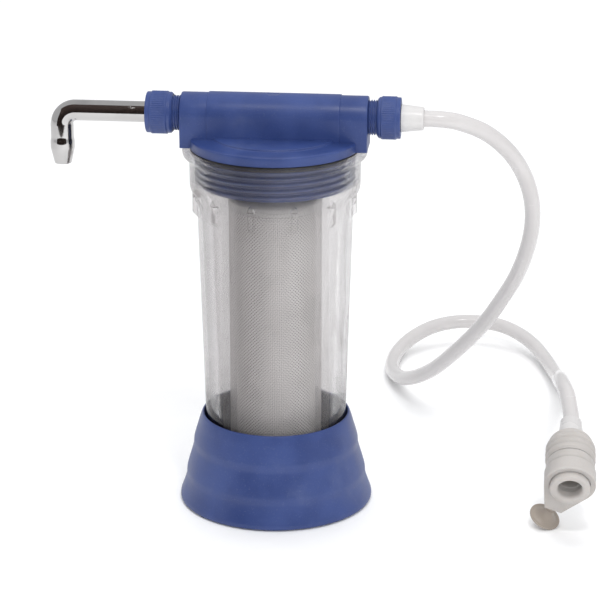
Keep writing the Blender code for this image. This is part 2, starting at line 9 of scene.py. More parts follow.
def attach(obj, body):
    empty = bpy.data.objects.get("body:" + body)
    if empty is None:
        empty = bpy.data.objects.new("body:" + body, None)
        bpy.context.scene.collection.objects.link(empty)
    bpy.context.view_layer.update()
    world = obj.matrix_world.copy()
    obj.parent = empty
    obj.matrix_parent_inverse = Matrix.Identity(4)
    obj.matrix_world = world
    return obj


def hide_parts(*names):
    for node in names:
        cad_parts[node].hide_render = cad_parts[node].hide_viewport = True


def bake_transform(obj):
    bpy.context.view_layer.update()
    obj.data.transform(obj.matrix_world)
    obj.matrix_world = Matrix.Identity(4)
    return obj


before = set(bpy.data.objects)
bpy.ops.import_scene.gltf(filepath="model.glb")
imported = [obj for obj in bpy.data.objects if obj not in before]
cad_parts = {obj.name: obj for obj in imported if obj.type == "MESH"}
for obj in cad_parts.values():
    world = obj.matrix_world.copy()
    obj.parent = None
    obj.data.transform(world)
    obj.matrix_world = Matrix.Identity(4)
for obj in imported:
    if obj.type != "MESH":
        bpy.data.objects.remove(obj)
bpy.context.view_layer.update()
print("frame loaded with", len(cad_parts), "nodes")


# Camera, light and floor

camera = {"place": (0.1981, -1.7388, 0.749), "heading": 5.89, "dip": 18.6, "lens": 145.1, "sensor": 36.0}
studio = {
    "view": "Standard", "air": (0.93, 0.94, 0.96), "airStrength": 0.71, "floorColour": (0.97, 0.97, 0.97),
    "floorReach": 6.0, "cardColour": (0.030, 0.022, 0.020), "cardReach": 1.15, "cardSides": (-1.25, 1.0),
    "cardAngles": (0.5, 80.0),
}
lights = (
    {"name": "roofBox", "place": (-0.4, 2.4, 5.0), "aim": (0.0, 0.6, 0.0), "size": 5.5, "power": 135.0,
     "mirrored": False},
    {"name": "keyBox", "place": (0.42, -0.86, 1.62), "aim": (0.0, 0.0, 0.2), "size": 0.20, "power": 5.0,
     "mirrored": True},
    {"name": "barrelGlow", "place": (-0.16, -0.90, 1.68), "aim": (0.0, 0.0, 0.3), "size": 0.26, "power": 3.0,
     "mirrored": True},
    {"name": "frontFill", "place": (0.9, -2.0, 1.3), "aim": (0.0, 0.0, 0.15), "size": 1.6, "power": 19.0,
     "mirrored": False},
)


def setCamera(values):
    lens = bpy.data.cameras.new("camera")
    lens.lens = values["lens"]
    lens.sensor_width = values["sensor"]
    lens.clip_start = 0.05
    lens.clip_end = 30.0
    made = bpy.data.objects.new("camera", lens)
    bpy.context.scene.collection.objects.link(made)
    made.location = values["place"]
    made.rotation_euler = (radians(90 - values["dip"]), 0.0, radians(values["heading"]))
    bpy.context.scene.camera = made


def setLight(values):
    lamp = bpy.data.lights.new(values["name"], "AREA")
    lamp.shape = "DISK"
    lamp.size = values["size"]
    lamp.energy = values["power"]
    made = bpy.data.objects.new(values["name"], lamp)
    bpy.context.scene.collection.objects.link(made)
    made.location = values["place"]
    aim = Vector(values["aim"]) - Vector(values["place"])
    made.rotation_euler = aim.to_track_quat("-Z", "Y").to_euler()
    made.visible_glossy = values["mirrored"]
    made.visible_transmission = values["mirrored"]


def setAir(values):
    world = bpy.data.worlds.new("air")
    world.use_nodes = True
    bpy.context.scene.world = world
    shade = world.node_tree.nodes["Background"]
    shade.inputs["Color"].default_value = (*values["air"], 1.0)
    shade.inputs["Strength"].default_value = values["airStrength"]
    bpy.context.scene.view_settings.view_transform = values["view"]


# Material arithmetic: one socket, with sums written as Python

class Signal:
    def __init__(self, tree, socket):
        self.tree = tree
        self.socket = socket

    def node(self, kind, settings, sockets, output=0):  # settings first, then values or links
        made = self.tree.nodes.new("ShaderNode" + kind)
        for key, value in settings.items():
            setattr(made, key, value)
        for key, value in sockets.items():
            if isinstance(value, Signal):
                self.tree.links.new(value.socket, made.inputs[key])
            else:
                made.inputs[key].default_value = value
        return Signal(self.tree, made.outputs[output])

    def sum(self, operation, first, second):
        return self.node("Math", {"operation": operation}, {0: first, 1: second})

    def __add__(self, other):
        return self.sum("ADD", self, other)

    def __radd__(self, other):
        return self.sum("ADD", other, self)

    def __sub__(self, other):
        return self.sum("SUBTRACT", self, other)

    def __rsub__(self, other):
        return self.sum("SUBTRACT", other, self)

    def __mul__(self, other):
        return self.sum("MULTIPLY", self, other)

    def __rmul__(self, other):
        return self.sum("MULTIPLY", other, self)

    def noise(self, scale, detail=3.0, stretch=(1.0, 1.0, 1.0), roughness=0.5):
        mapped = self.node("Mapping", {}, {"Vector": self, "Scale": stretch})
        return mapped.node("TexNoise", {}, {"Vector": mapped, "Scale": scale, "Detail": detail,
                                            "Roughness": roughness})

    def between(self, low, high):  # 0 at low, 1 at high, smooth between
        return self.node("MapRange", {"interpolation_type": "SMOOTHSTEP"},
                         {"Value": self, "From Min": low, "From Max": high})

    def mix(self, first, second):  # colours, by this signal
        return self.node("Mix", {"data_type": "RGBA"}, {0: self, 6: first, 7: second}, 2)

    def bump(self, strength, distance):
        return self.node("Bump", {}, {"Strength": strength, "Distance": distance, "Height": self})


def newFinish(name, constants):
    made = bpy.data.materials.new(name)
    made.use_nodes = True
    tree = made.node_tree
    shader = tree.nodes["Principled BSDF"]
    for key, value in constants.items():
        shader.inputs[key].default_value = value
    place = tree.nodes.new("ShaderNodeTexCoord")
    return made, Signal(tree, place.outputs["Object"]), shader


def feed(shader, **signals):
    for key, value in signals.items():
        value.tree.links.new(value.socket, shader.inputs[key.replace("_", " ")])


def rgb(colour):
    return (*colour, 1.0)


# what a moulded finish has unless it says otherwise
mouldedUsual = {"haze": 0.08, "speckShare": 0.10, "rubShare": 0.15, "skin": 1400.0, "skinHeight": 0.5,
                "bump": 0.12, "constants": {}}


def mouldedFinish(name, own):
    # moulded plastic or rubber: mottled colour, handling haze, rub marks, fine scratches, flow grain
    values = {**mouldedUsual, **own}
    made, place, shader = newFinish(name, values["constants"])
    cloud = place.noise(28.0, 4.0).between(0.32, 0.70)
    speck = place.noise(900.0, 2.0).between(0.58, 0.74)
    scratch = place.noise(55.0, 3.0, (1.0, 9.0, 9.0)).between(0.60, 0.72)
    rub = place.noise(16.0, 5.0).between(0.56, 0.74)
    dust = rgb(values["dust"])
    colour = cloud.mix(rgb(values["dark"]), rgb(values["light"]))
    colour = (speck * values["speckShare"]).mix(colour, dust)
    colour = (rub * (0.3 + scratch * 0.7) * values["rubShare"]).mix(colour, dust)
    rough = values["rough"] + cloud * values["haze"] + scratch * 0.07
    skin = place.noise(values["skin"], 2.0)
    height = skin * values["skinHeight"] + scratch * 0.4 + place.noise(60.0, 2.0) * 0.8
    feed(shader, Base_Color=colour, Roughness=rough, Normal=height.bump(values["bump"], 0.0004))
    return made


def clearFinish(name, values):
    # clear moulded plastic: smoky draft lines down the wall, painted shade on its left side, rub marks, and
    # darker where it is seen edge on
    made, place, shader = newFinish(name, values["constants"])
    lines = place.noise(95.0, 3.0, (1.0, 1.0, 0.03))
    bands = place.noise(20.0, 2.0, (1.0, 1.0, 0.05)) + lines * 0.35
    # painted shade: the tint darkens towards the bowl's left (low x), the side away from the key light
    side = place.node("SeparateXYZ", {}, {"Vector": place}, 0).between(-0.058, 0.034)
    rubs = place.noise(24.0, 5.0, (1.0, 1.0, 2.5)).between(0.58, 0.80)
    edge = place.node("LayerWeight", {}, {"Blend": 0.35}, 1).between(0.25, 0.95)
    # the tint follows the draft-line streaks and the painted left-side shade, half each
    draftLinesAndSideShade = bands.between(0.52, 0.86) * 0.5 + side * 0.5
    tint = edge.mix(draftLinesAndSideShade.mix(rgb(values["dark"]), rgb(values["light"])), rgb(values["edge"]))
    feed(shader, Base_Color=tint, Roughness=0.02 + rubs * 0.10, Alpha=values["body"] + edge * values["rim"],
         Coat_Weight=1.0 - edge * 0.85, Normal=(lines * 0.8 + rubs * 0.2).bump(0.03, 0.0004))
    return made


def chromeFinish(name, dark, light):  # plated metal: water spots, a little haze and pits
    made, place, shader = newFinish(name, {"Metallic": 1.0})
    spots = place.noise(260.0, 3.0).between(0.62, 0.70)
    haze = place.noise(45.0, 4.0).between(0.40, 0.75)
    colour = haze.mix(rgb(light), rgb(dark))
    feed(shader, Base_Color=colour, Roughness=0.05 + haze * 0.06 + spots * 0.16,
         Normal=(place.noise(500.0, 2.0) * 0.5 + spots * 0.5).bump(0.05, 0.0002))
    return made


def metalFinish(name, dark, light):  # drawn metal with cutter marks round it
    made, place, shader = newFinish(name, {"Metallic": 1.0})
    tarnish = place.noise(160.0, 4.0).between(0.35, 0.70)
    marks = place.noise(240.0, 2.0, (0.1, 0.1, 6.0))
    feed(shader, Base_Color=tarnish.mix(rgb(light), rgb(dark)), Roughness=0.24 + tarnish * 0.22,
         Normal=marks.bump(0.15, 0.0002))
    return made


def feltFinish(name, dark, light):  # matted fibres over the block
    made, place, shader = newFinish(name, {"Specular IOR Level": 0.2})
    fibre = place.noise(700.0, 5.0, (1.0, 1.0, 0.5), 0.7)
    patch = place.noise(60.0, 3.0).between(0.3, 0.7)
    colour = (fibre.between(0.35, 0.65) * 0.7 + patch * 0.3).mix(rgb(dark), rgb(light))
    feed(shader, Base_Color=colour, Roughness=0.85 + patch * 0.1, Normal=fibre.bump(0.6, 0.0006))
    return made


def floorFinish(name, colour):  # matt paper, a little cloudy
    made, place, shader = newFinish(name, {"Specular IOR Level": 0.25})
    paper = place.noise(35.0, 5.0).between(0.2, 0.8)
    pale = tuple(min(1.0, c * 1.02) for c in colour)
    feed(shader, Base_Color=paper.mix(rgb(colour), rgb(pale)), Roughness=0.75 + paper * 0.1)
    return made


def cardFinish(name, colour):  # dark studio card, only for reflections
    made, place, shader = newFinish(name, {"Specular IOR Level": 0.0, "Roughness": 1.0})
    high = place.node("SeparateXYZ", {}, {"Vector": place}, 2).between(0.1, 1.4)
    feed(shader, Base_Color=high.mix(rgb(colour), rgb(tuple(c * 3.2 for c in colour))))
    return made


finishes = {
    "blue": mouldedFinish("moulded blue plastic", {
        "dark": (0.023, 0.045, 0.165), "light": (0.036, 0.065, 0.215), "dust": (0.14, 0.165, 0.26),
        "rough": 0.36, "haze": 0.12, "speckShare": 0.18, "bump": 0.14, "rubShare": 0.9}),
    "clear": clearFinish("clear bowl plastic", {
        # dark tints the painted shade on the bowl's left and the darker streaks; light tints the lit right
        # side and the paler streaks
        "dark": (0.17, 0.145, 0.145), "light": (0.60, 0.575, 0.575), "edge": (0.10, 0.085, 0.085),
        "body": 0.39, "rim": 0.45,
        "constants": {"Transmission Weight": 0.92, "IOR": 1.14, "Coat Roughness": 0.03}}),
    "white": mouldedFinish("moulded white plastic", {
        "dark": (0.58, 0.565, 0.56), "light": (0.63, 0.62, 0.61), "dust": (0.42, 0.41, 0.39), "rough": 0.26}),
    "hose": mouldedFinish("soft white hose", {
        "dark": (0.57, 0.55, 0.545), "light": (0.60, 0.58, 0.575), "dust": (0.45, 0.44, 0.43), "rough": 0.18,
        "speckShare": 0.06, "haze": 0.05, "constants": {"Coat Weight": 0.25, "Coat Roughness": 0.12}}),
    "paleRubber": mouldedFinish("pale rubber", {
        "dark": (0.43, 0.405, 0.385), "light": (0.49, 0.465, 0.445), "dust": (0.32, 0.30, 0.29),
        "rough": 0.50, "skin": 2200.0, "skinHeight": 0.9, "bump": 0.22, "speckShare": 0.14,
        "constants": {"Subsurface Weight": 0.30, "Subsurface Radius": (0.009, 0.0075, 0.0065),
                      "Subsurface Scale": 1.0}}),
    "blackRubber": mouldedFinish("black rubber", {
        "dark": (0.012, 0.012, 0.013), "light": (0.026, 0.026, 0.027), "dust": (0.12, 0.12, 0.11),
        "rough": 0.52}),
    "net": mouldedFinish("extruded net", {
        "dark": (0.78, 0.76, 0.745), "light": (0.88, 0.86, 0.845), "dust": (0.60, 0.58, 0.56),
        "rough": 0.25}),
    "tan": mouldedFinish("tan plastic", {
        "dark": (0.31, 0.265, 0.225), "light": (0.38, 0.335, 0.29), "dust": (0.22, 0.19, 0.17),
        "rough": 0.42}),
    "carbon": feltFinish("pressed carbon", (0.008, 0.008, 0.009), (0.040, 0.040, 0.042)),
    "felt": feltFinish("grey felt wrap", (0.10, 0.095, 0.09), (0.18, 0.17, 0.165)),
    "chrome": chromeFinish("chrome plate", (0.44, 0.43, 0.425), (0.52, 0.51, 0.505)),
    "brass": metalFinish("turned brass", (0.42, 0.29, 0.11), (0.72, 0.54, 0.24)),
    "floor": floorFinish("pale floor", studio["floorColour"]),
    "card": cardFinish("dark card", studio["cardColour"]),
}
print("finishes made")


# Grids to meshes

def gridFaces(rows, columns, wrapRows, first):  # one quad to a cell; columns close on themselves
    row = np.arange(rows if wrapRows else rows - 1)[:, None]
    column = np.arange(columns)
    after = (column + 1) % columns
    above = (row + 1) % rows * columns
    cells = (row * columns + column, row * columns + after, above + after, above + column)
    return np.stack([np.broadcast_to(c, (len(row), columns)).ravel() for c in cells], 1) + first


def meshOf(name, grids):  # grids are (points, wrapRows); the last axis of points is x, y, z
    points, faces, first = [], [], 0
    for grid, wrapRows in grids:
        rows, columns = grid.shape[:2]
        points.append(grid.reshape(-1, 3))
        faces.append(gridFaces(rows, columns, wrapRows, first))
        first += rows * columns
    mesh = bpy.data.meshes.new(name)
    mesh.from_pydata(np.concatenate(points).tolist(), [], np.concatenate(faces).tolist())
    return mesh


def closeUp(mesh, join):  # poles and doubled points merge, then every face turns outwards
    work = bmesh.new()
    work.from_mesh(mesh)
    bmesh.ops.remove_doubles(work, verts=work.verts, dist=join)
    bmesh.ops.dissolve_degenerate(work, dist=join / 4, edges=work.edges)
    bmesh.ops.recalc_face_normals(work, faces=work.faces)
    work.to_mesh(mesh)
    work.free()


def addPiece(name, grids, finish, body, stands=(), join=2e-6, crease=34.0):
    # a piece from its grids, with its finish, the body it rides on and the CAD nodes it stands for
    mesh = meshOf(name, grids)
    closeUp(mesh, join)
    mesh.shade_smooth()
    mesh.set_sharp_from_angle(angle=radians(crease))
    mesh.materials.append(finishes[finish])
    made = bpy.data.objects.new(name, mesh)
    bpy.context.scene.collection.objects.link(made)
    if body:
        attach(made, body)
    if stands:
        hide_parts(*stands)
    return made


def softened(corners, closed=True, steps=5):
    # corners are (radius, height, softness): a quadratic curve, softness long each way,
    # takes each corner's place
    data = np.array(corners, float)
    place, reach = data[:, :2], data[:, 2]
    back = np.roll(place, 1, 0) - place
    on = np.roll(place, -1, 0) - place
    backLength = np.maximum(np.linalg.norm(back, axis=1), 1e-9)
    onLength = np.maximum(np.linalg.norm(on, axis=1), 1e-9)
    cut = np.minimum(reach, 0.48 * np.minimum(backLength, onLength))
    if not closed:
        cut[[0, -1]] = 0.0
    start = place + back * (cut / backLength)[:, None]
    end = place + on * (cut / onLength)[:, None]
    t = np.linspace(0.0, 1.0, steps)[None, :, None]
    curve = (1 - t) ** 2 * start[:, None] + 2 * t * (1 - t) * place[:, None] + t ** 2 * end[:, None]
    line = curve.reshape(-1, 2)
    keep = np.append(True, np.linalg.norm(np.diff(line, axis=0), axis=1) > 1e-7)
    return line[keep]


def refined(line, step, closed=False):
    # extra points along a profile so that no gap is longer than step,
    # which is one length or a length for each gap
    ends = np.vstack([line, line[:1]]) if closed else line
    gaps = np.linalg.norm(np.diff(ends, axis=0), axis=1)
    parts = np.maximum(1, np.ceil(gaps / step).astype(int))
    start = np.repeat(ends[:-1], parts, axis=0)
    along = np.repeat(ends[1:] - ends[:-1], parts, axis=0)
    share = (np.arange(parts.sum()) - np.repeat(np.cumsum(parts) - parts, parts)) / np.repeat(parts, parts)
    full = start + along * share[:, None]
    return full if closed else np.vstack([full, line[-1:]])


def lathe(line, turns=96):  # every profile point goes round Z; turns is a count or the angles themselves
    turn = np.linspace(0.0, tau, turns, endpoint=False) if isinstance(turns, int) else turns
    radius, height = line[:, 0:1], line[:, 1:2]
    return np.stack([radius * np.cos(turn), radius * np.sin(turn), height + 0 * turn], -1)


def placed(points, matrix):
    data = np.array(matrix, float)
    return points @ data[:3, :3].T + data[:3, 3]


def stretched(points, grown):  # moves points away from Z to new radii
    radius = np.maximum(np.hypot(points[..., 0], points[..., 1]), 1e-9)
    out = points.copy()
    out[..., 0] *= grown / radius
    out[..., 1] *= grown / radius
    return out


def threaded(points, values):
    # a right-hand helix: radius goes from root to crest where height over pitch
    # less the turn is near a whole number
    radius = np.hypot(points[..., 0], points[..., 1])
    turn = np.arctan2(points[..., 1], points[..., 0]) / tau
    place = (points[..., 2] - values["start"]) / values["pitch"] - turn + values["phase"]
    away = np.abs(place - np.round(place))
    ridge = np.clip((0.37 - away) / 0.25, 0.0, 1.0)
    ridge = ridge * ridge * (3 - 2 * ridge)
    fade = 0.5 * values["pitch"]
    low = np.clip((points[..., 2] - values["low"]) / fade, 0.0, 1.0)
    high = np.clip((values["high"] - points[..., 2]) / fade, 0.0, 1.0)
    onFace = np.abs(radius - values["root"]) < 2e-5
    return stretched(points, radius + onFace * (values["crest"] - values["root"]) * ridge * low * high)


def knurled(points, values):  # straight ribs along Z on the rows of the band, as a rounded wave round it
    radius = np.hypot(points[..., 0], points[..., 1])
    turn = np.arctan2(points[..., 1], points[..., 0])
    wave = 0.5 + 0.5 * np.cos(values["count"] * turn)
    low = np.clip((points[..., 2] - values["low"]) / values["fade"], 0.0, 1.0)
    high = np.clip((values["high"] - points[..., 2]) / values["fade"], 0.0, 1.0)
    onFace = radius > values["root"] - 1e-5
    return stretched(points, radius - onFace * values["depth"] * wave ** 0.8 * low * high)


def tube(path, radii, sides):  # rings square to a path that is nowhere upright
    ahead = np.gradient(path, axis=0)
    ahead /= np.linalg.norm(ahead, axis=1)[:, None]
    side = np.cross(ahead, (0.0, 0.0, 1.0))
    side /= np.linalg.norm(side, axis=1)[:, None]
    lift = np.cross(side, ahead)
    turn = np.linspace(0.0, tau, sides, endpoint=False)
    ring = side[:, None] * np.cos(turn)[None, :, None] + lift[:, None] * np.sin(turn)[None, :, None]
    return path[:, None] + ring * np.asarray(radii, float)[:, None, None]


# Places shared by several pieces

portHeight = 0.3054
bowlThread = {"pitch": 0.0049, "start": 0.2574}


def alongX(place, direction):  # carries +Z onto +X or -X, with height 0 at this place on the ports' axis
    return Matrix.Translation((place, 0.0, portHeight)) @ Matrix.Rotation(direction * pi / 2, 4, "Y")


# The hose: the same route as the CAD solid's, ferrule to tap connector

hose = {"radius": 0.00615, "rounding": 0.0004, "length": 1.05, "rows": 460, "sides": 28}
hoseRoute = np.array((
    (0.1045, 0.0000, 0.3054), (0.1125, 0.0000, 0.3054), (0.1205, 0.0000, 0.3054), (0.1280, 0.0010, 0.3046),
    (0.1375, 0.0038, 0.3022), (0.1550, 0.0105, 0.2940), (0.1700, 0.0200, 0.2805), (0.1810, 0.0315, 0.2640),
    (0.1885, 0.0440, 0.2450), (0.1925, 0.0580, 0.2240), (0.1925, 0.0715, 0.2010), (0.1885, 0.0865, 0.1765),
    (0.1810, 0.1000, 0.1520), (0.1700, 0.1140, 0.1280), (0.1575, 0.1280, 0.1045), (0.1435, 0.1425, 0.0830),
    (0.1290, 0.1585, 0.0630), (0.1140, 0.1780, 0.0435), (0.0990, 0.2010, 0.0275), (0.0850, 0.2290, 0.0150),
    (0.0755, 0.2580, 0.0092), (0.0720, 0.2870, 0.0075), (0.0755, 0.3165, 0.0086), (0.0865, 0.3415, 0.0125),
    (0.1035, 0.3600, 0.0168), (0.1235, 0.3700, 0.0190), (0.1455, 0.3715, 0.0195), (0.1665, 0.3650, 0.0187),
    (0.1845, 0.3500, 0.0160), (0.1980, 0.3290, 0.0130), (0.2085, 0.3000, 0.0107), (0.2155, 0.2700, 0.0112),
    (0.2200, 0.2380, 0.0155), (0.2210, 0.2050, 0.0245), (0.2205, 0.1700, 0.0390), (0.2190, 0.1350, 0.0535),
    (0.2188, 0.1000, 0.0680), (0.2195, 0.0700, 0.0777), (0.2220, 0.0450, 0.0812), (0.2248, 0.0270, 0.0800),
    (0.2275, 0.00352, 0.07271), (0.2275, -0.00261, 0.06998),
))


def smoothRoute(route, count):  # a uniform Catmull-Rom curve through the route, at even steps of its length
    knots = np.vstack([2 * route[0] - route[1], route, 2 * route[-1] - route[-2]])
    a, b, c, d = (knots[i:len(knots) - 3 + i, None] for i in range(4))
    t = np.linspace(0.0, 1.0, 24, endpoint=False)[None, :, None]
    curve = 0.5 * (2 * b + (c - a) * t + (2 * a - 5 * b + 4 * c - d) * t ** 2
                   + (3 * b - a - 3 * c + d) * t ** 3)
    line = np.vstack([curve.reshape(-1, 3), route[-1:]])
    run = np.append(0.0, np.cumsum(np.linalg.norm(np.diff(line, axis=0), axis=1)))
    even = np.linspace(0.0, run[-1], count)
    return np.stack([np.interp(even, run, line[:, i]) for i in range(3)], 1)


def makeHose(values):
    # rings square to the route; the first and last ring are a little smaller, and close on the route itself
    path = smoothRoute(hoseRoute, values["rows"])
    last = len(path) - 1
    rows = np.concatenate([(0, 0, 0), np.arange(1, last), (last, last, last)])
    radii = np.full(len(rows), values["radius"])
    radii[[0, -1]] = 0.0
    radii[[1, -2]] = values["radius"] - values["rounding"]
    centre = tube(path, np.zeros(len(path)), values["sides"])
    around = tube(path, np.ones(len(path)), values["sides"]) - centre
    points = centre[rows] + around[rows] * radii[:, None, None]
    made = addPiece("tapHose", [(points, False)], "hose", None, ["tap_hose"])
    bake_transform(made)
    return made, path


# The stand: a flared cone in three tiers with a rolled rim

stand = {"rim": 0.0553, "turns": 144, "gap": 0.004}


def makeStand(values):
    # one outline, out and up the cone, over the rim and down inside round the locating ring, turned round Z
    outside = [
        (0.0, 0.0, 0), (0.0705, 0.0, 0.002), (0.0745, 0.0012, 0.002), (0.0745, 0.0042, 0.002),
        (0.0723, 0.0099, 0.004), (0.0706, 0.0149, 0.003), (0.0696, 0.0190, 0.0014), (0.0693, 0.0245, 0.0014),
        (0.0679, 0.0298, 0.004), (0.0664, 0.0347, 0.004), (0.0649, 0.0398, 0.003), (0.0639, 0.0436, 0.0014),
        (0.0636, 0.0490, 0.0014), (0.0621, 0.0545, 0.004), (0.0605, 0.0595, 0.004), (0.0591, 0.0645, 0.003),
        (0.0574, 0.0692, 0.0012), (0.0566, 0.0706, 0.0006), (0.0556, 0.0706, 0.0005),
    ]
    inside = [(values["rim"], 0.0686, 0.001), (0.0566, 0.0640, 0.003), (0.0595, 0.0540, 0.004),
              (0.0638, 0.0347, 0.004), (0.0700, 0.0080, 0.003), (0.0700, 0.0030, 0.001),
              (0.0559, 0.0030, 0.0004), (0.0559, 0.0120, 0.0006), (0.0535, 0.0120, 0.0006),
              (0.0535, 0.0030, 0.0004), (0.0, 0.0030, 0)]
    line = refined(softened(outside + inside, closed=False), values["gap"])
    addPiece("standBase", [(lathe(line, values["turns"]), False)], "blue", "base", ["stand"])


# The bowl: clear wall, threaded bore, lip, and twelve fins under the shoulder

bowl = {"shoulder": 0.0589, "wall": 0.0034, "neck": 0.0645, "bore": 0.0604, "lip": 0.0695, "lipTop": 0.281,
        "threadCrest": 0.0589, "threadLow": 0.2545, "threadHigh": 0.2757, "fins": 12, "firstFin": 19.5,
        "finOut": 0.0632, "finHalf": 0.0021, "finMargin": 0.0032, "finFoot": 0.2300, "finSlope": 0.0046,
        "finHead": 0.2489, "finZone": (0.2299, 0.2512), "finSkin": 0.0578}


def finTurns(values):  # angles of the columns, close together at the fins' edges
    centres = radians(values["firstFin"]) - pi / 2 + np.arange(values["fins"]) * tau / values["fins"]
    offsets = np.array((-2.75, -2.35, -2.05, -1.7, -0.9, 0.0,
                        0.9, 1.7, 2.05, 2.35, 2.75)) * 0.001 / values["finOut"]
    close = (centres[:, None] + offsets).ravel() % tau
    even = np.linspace(0.0, tau, 132, endpoint=False)  # elsewhere, a column every few degrees
    apart = np.abs((even[:, None] - centres + pi) % tau - pi).min(1)
    return np.sort(np.concatenate([close, even[apart > values["finMargin"] / values["finOut"]]])), centres


def withFins(points, centres, values):
    # a fin is as high as its outer radius allows, with a round head and a sloped foot
    radius = np.hypot(points[..., 0], points[..., 1])
    turn = np.arctan2(points[..., 1], points[..., 0])
    apart = np.abs((turn[..., None] - centres + pi) % tau - pi).min(-1) * radius
    height = points[..., 2]
    low, high = values["finZone"]
    head = np.clip(height - values["finHead"], 0.0, values["finHalf"])
    half = np.sqrt(np.maximum(values["finHalf"] ** 2 - head ** 2, 0.0))
    share = np.clip((half - apart) / 0.0003 + 0.5, 0.0, 1.0)
    foot = np.clip((height - values["finFoot"]) / values["finSlope"], 0.0, 1.0)
    reach = radius + (values["finOut"] - radius) * foot
    outside = (radius > values["finSkin"]) & (height > low) & (height < high)
    return stretched(points, np.where(outside, radius + share * np.maximum(reach - radius, 0.0), radius))


def makeBowl(values):
    # one outline, up the outside, over the lip, down the threaded bore and the inside, turned round Z;
    # its points are close together where the fins are
    outside = [
        (0.0, 0.0033, 0), (0.0440, 0.0033, 0.002), (0.0500, 0.0045, 0.003), (0.0524, 0.0110, 0.004),
        (0.0587, 0.2296, 0), (0.0588, 0.2300, 0), (0.0588, 0.2346, 0), (0.0589, 0.2385, 0.002),
        (0.0604, 0.2432, 0.003), (0.0636, 0.2498, 0.002), (0.0643, 0.2530, 0.003),
        (values["neck"], 0.2722, 0.002), (0.0655, 0.2742, 0.002), (0.0686, 0.2760, 0.0015),
        (values["lip"], 0.2780, 0.0015), (values["lip"], 0.2801, 0.001), (0.0686, values["lipTop"], 0.0006),
    ]
    bore, low, high = values["bore"], values["threadLow"], values["threadHigh"]
    rebate = [(0.0638, values["lipTop"], 0.0003), (0.0638, 0.2780, 0.0003), (bore, 0.2780, 0.0003),
              (bore, high, 0)]
    wallIn = values["shoulder"] - values["wall"]
    inside = [(bore, low, 0), (bore, 0.2515, 0.002), (wallIn + 0.0006, 0.2425, 0.003),
              (wallIn, 0.2360, 0.002), (0.0489, 0.0145, 0.005), (0.0465, 0.0078, 0.004),
              (0.0400, 0.0071, 0.002), (0.0165, 0.0071, 0.0004), (0.0165, 0.0107, 0.0004),
              (0.0135, 0.0107, 0.0004), (0.0135, 0.0071, 0.0004), (0.0, 0.0071, 0)]
    line = np.vstack([softened(outside, closed=False), softened(rebate, closed=False),
                      refined(np.array([(bore, high), (bore, low)]), 0.0003),
                      softened(inside, closed=False)[1:]])
    tall = (line[:, 1] > 0.2285) & (line[:, 1] < 0.2525)
    line = refined(line, np.where(tall[:-1] & tall[1:], 0.0005, 0.012))
    turns, centres = finTurns(values)
    points = withFins(lathe(line, turns), centres, values)
    points = threaded(points, {**bowlThread, "phase": 0.25, "low": low + 0.0005, "high": high, "root": bore,
                               "crest": values["threadCrest"]})
    addPiece("clearBowl", [(points, False)], "clear", "bowl", ["bowl"])


# The cartridge: two caps, felt wrap and an extruded net over the carbon block

cartridge = {"cap": 0.0356, "wrap": 0.0344, "net": 0.0350, "low": 0.0275, "high": 0.2350,
             "backing": 0.0339, "tube": 0.0095, "strands": 80, "segments": 36, "thick": 0.00036,
             "lap": 0.00006}


def makeCaps(values):  # each cap's closed outline, turned round Z
    cap, side, tubeR = values["cap"], values["backing"], values["tube"]
    bottom = [(cap, 0.0268, 0.0006), (cap, 0.0153, 0.0012), (cap - 0.0012, 0.0143, 0.0008),
              (tubeR, 0.0143, 0.0004), (tubeR, 0.0173, 0.0004), (side, 0.0173, 0.0002),
              (side, 0.0268, 0.0003)]
    top = [(0.0215, 0.2540, 0.0008), (0.0240, 0.2524, 0.002), (0.0262, 0.2462, 0.003),
           (0.0338, 0.2436, 0.0015), (cap, 0.2420, 0.0012), (cap, 0.2355, 0.0005), (side, 0.2355, 0.0002),
           (side, 0.2415, 0.0002), (tubeR, 0.2415, 0.0003), (tubeR, 0.2540, 0.0004)]
    for name, corners, node in (("lowerCap", bottom, "bottom_cap"), ("upperCap", top, "top_cap")):
        addPiece(name, [(lathe(softened(corners)), True)], "white", "bowl", [node])


def makeWrap(values):  # a thin sleeve, its closed outline turned round Z
    wrap, side, low, high = values["wrap"], values["backing"], values["low"], values["high"]
    line = softened([(wrap, high, 0.0004), (wrap, low, 0.0004), (side, low, 0.0002), (side, high, 0.0002)])
    addPiece("feltWrap", [(lathe(refined(line, 0.02, True)), True)], "felt", "bowl", [])


def makeNet(values):
    # strand i starts at its own angle and climbs the wrap at 45 degrees, one way or the other,
    # as a three-sided thread
    height = np.linspace(values["low"], values["high"], values["segments"] + 1)
    climb = (height - height[0]) / values["net"]
    thick, broad = values["thick"] * 0.8, values["thick"] * 1.25
    starts = np.arange(values["strands"]) * tau / values["strands"]
    grids = []
    for hand in (1, -1):
        turn = starts[:, None] + hand * climb
        centre = np.full_like(turn, values["net"] + hand * values["lap"])
        rounds = []
        for corner in np.arange(3) * tau / 3 + pi:
            out = centre + thick * cos(corner)
            aside = turn - hand * broad * sin(corner) / values["net"]
            rise = height + broad * sin(corner)
            rounds.append(np.stack([out * np.cos(aside), out * np.sin(aside), rise + 0 * aside], -1))
        grids.append(np.stack(rounds, 2))
    strands = np.concatenate(grids)
    ends = strands.mean(2, keepdims=True)
    strands = np.concatenate([np.repeat(ends[:, :1], 3, 2), strands, np.repeat(ends[:, -1:], 3, 2)], 1)
    strands[:, :, :, 2] = np.clip(strands[:, :, :, 2], values["low"] - 0.0002, values["high"] + 0.0003)
    addPiece("cartridgeNet", [(s, False) for s in strands], "net", "bowl", ["net_sleeve"],
             join=1e-7)


# The head: threaded skirt, flange and boss, the long barrel, and the two threaded stubs

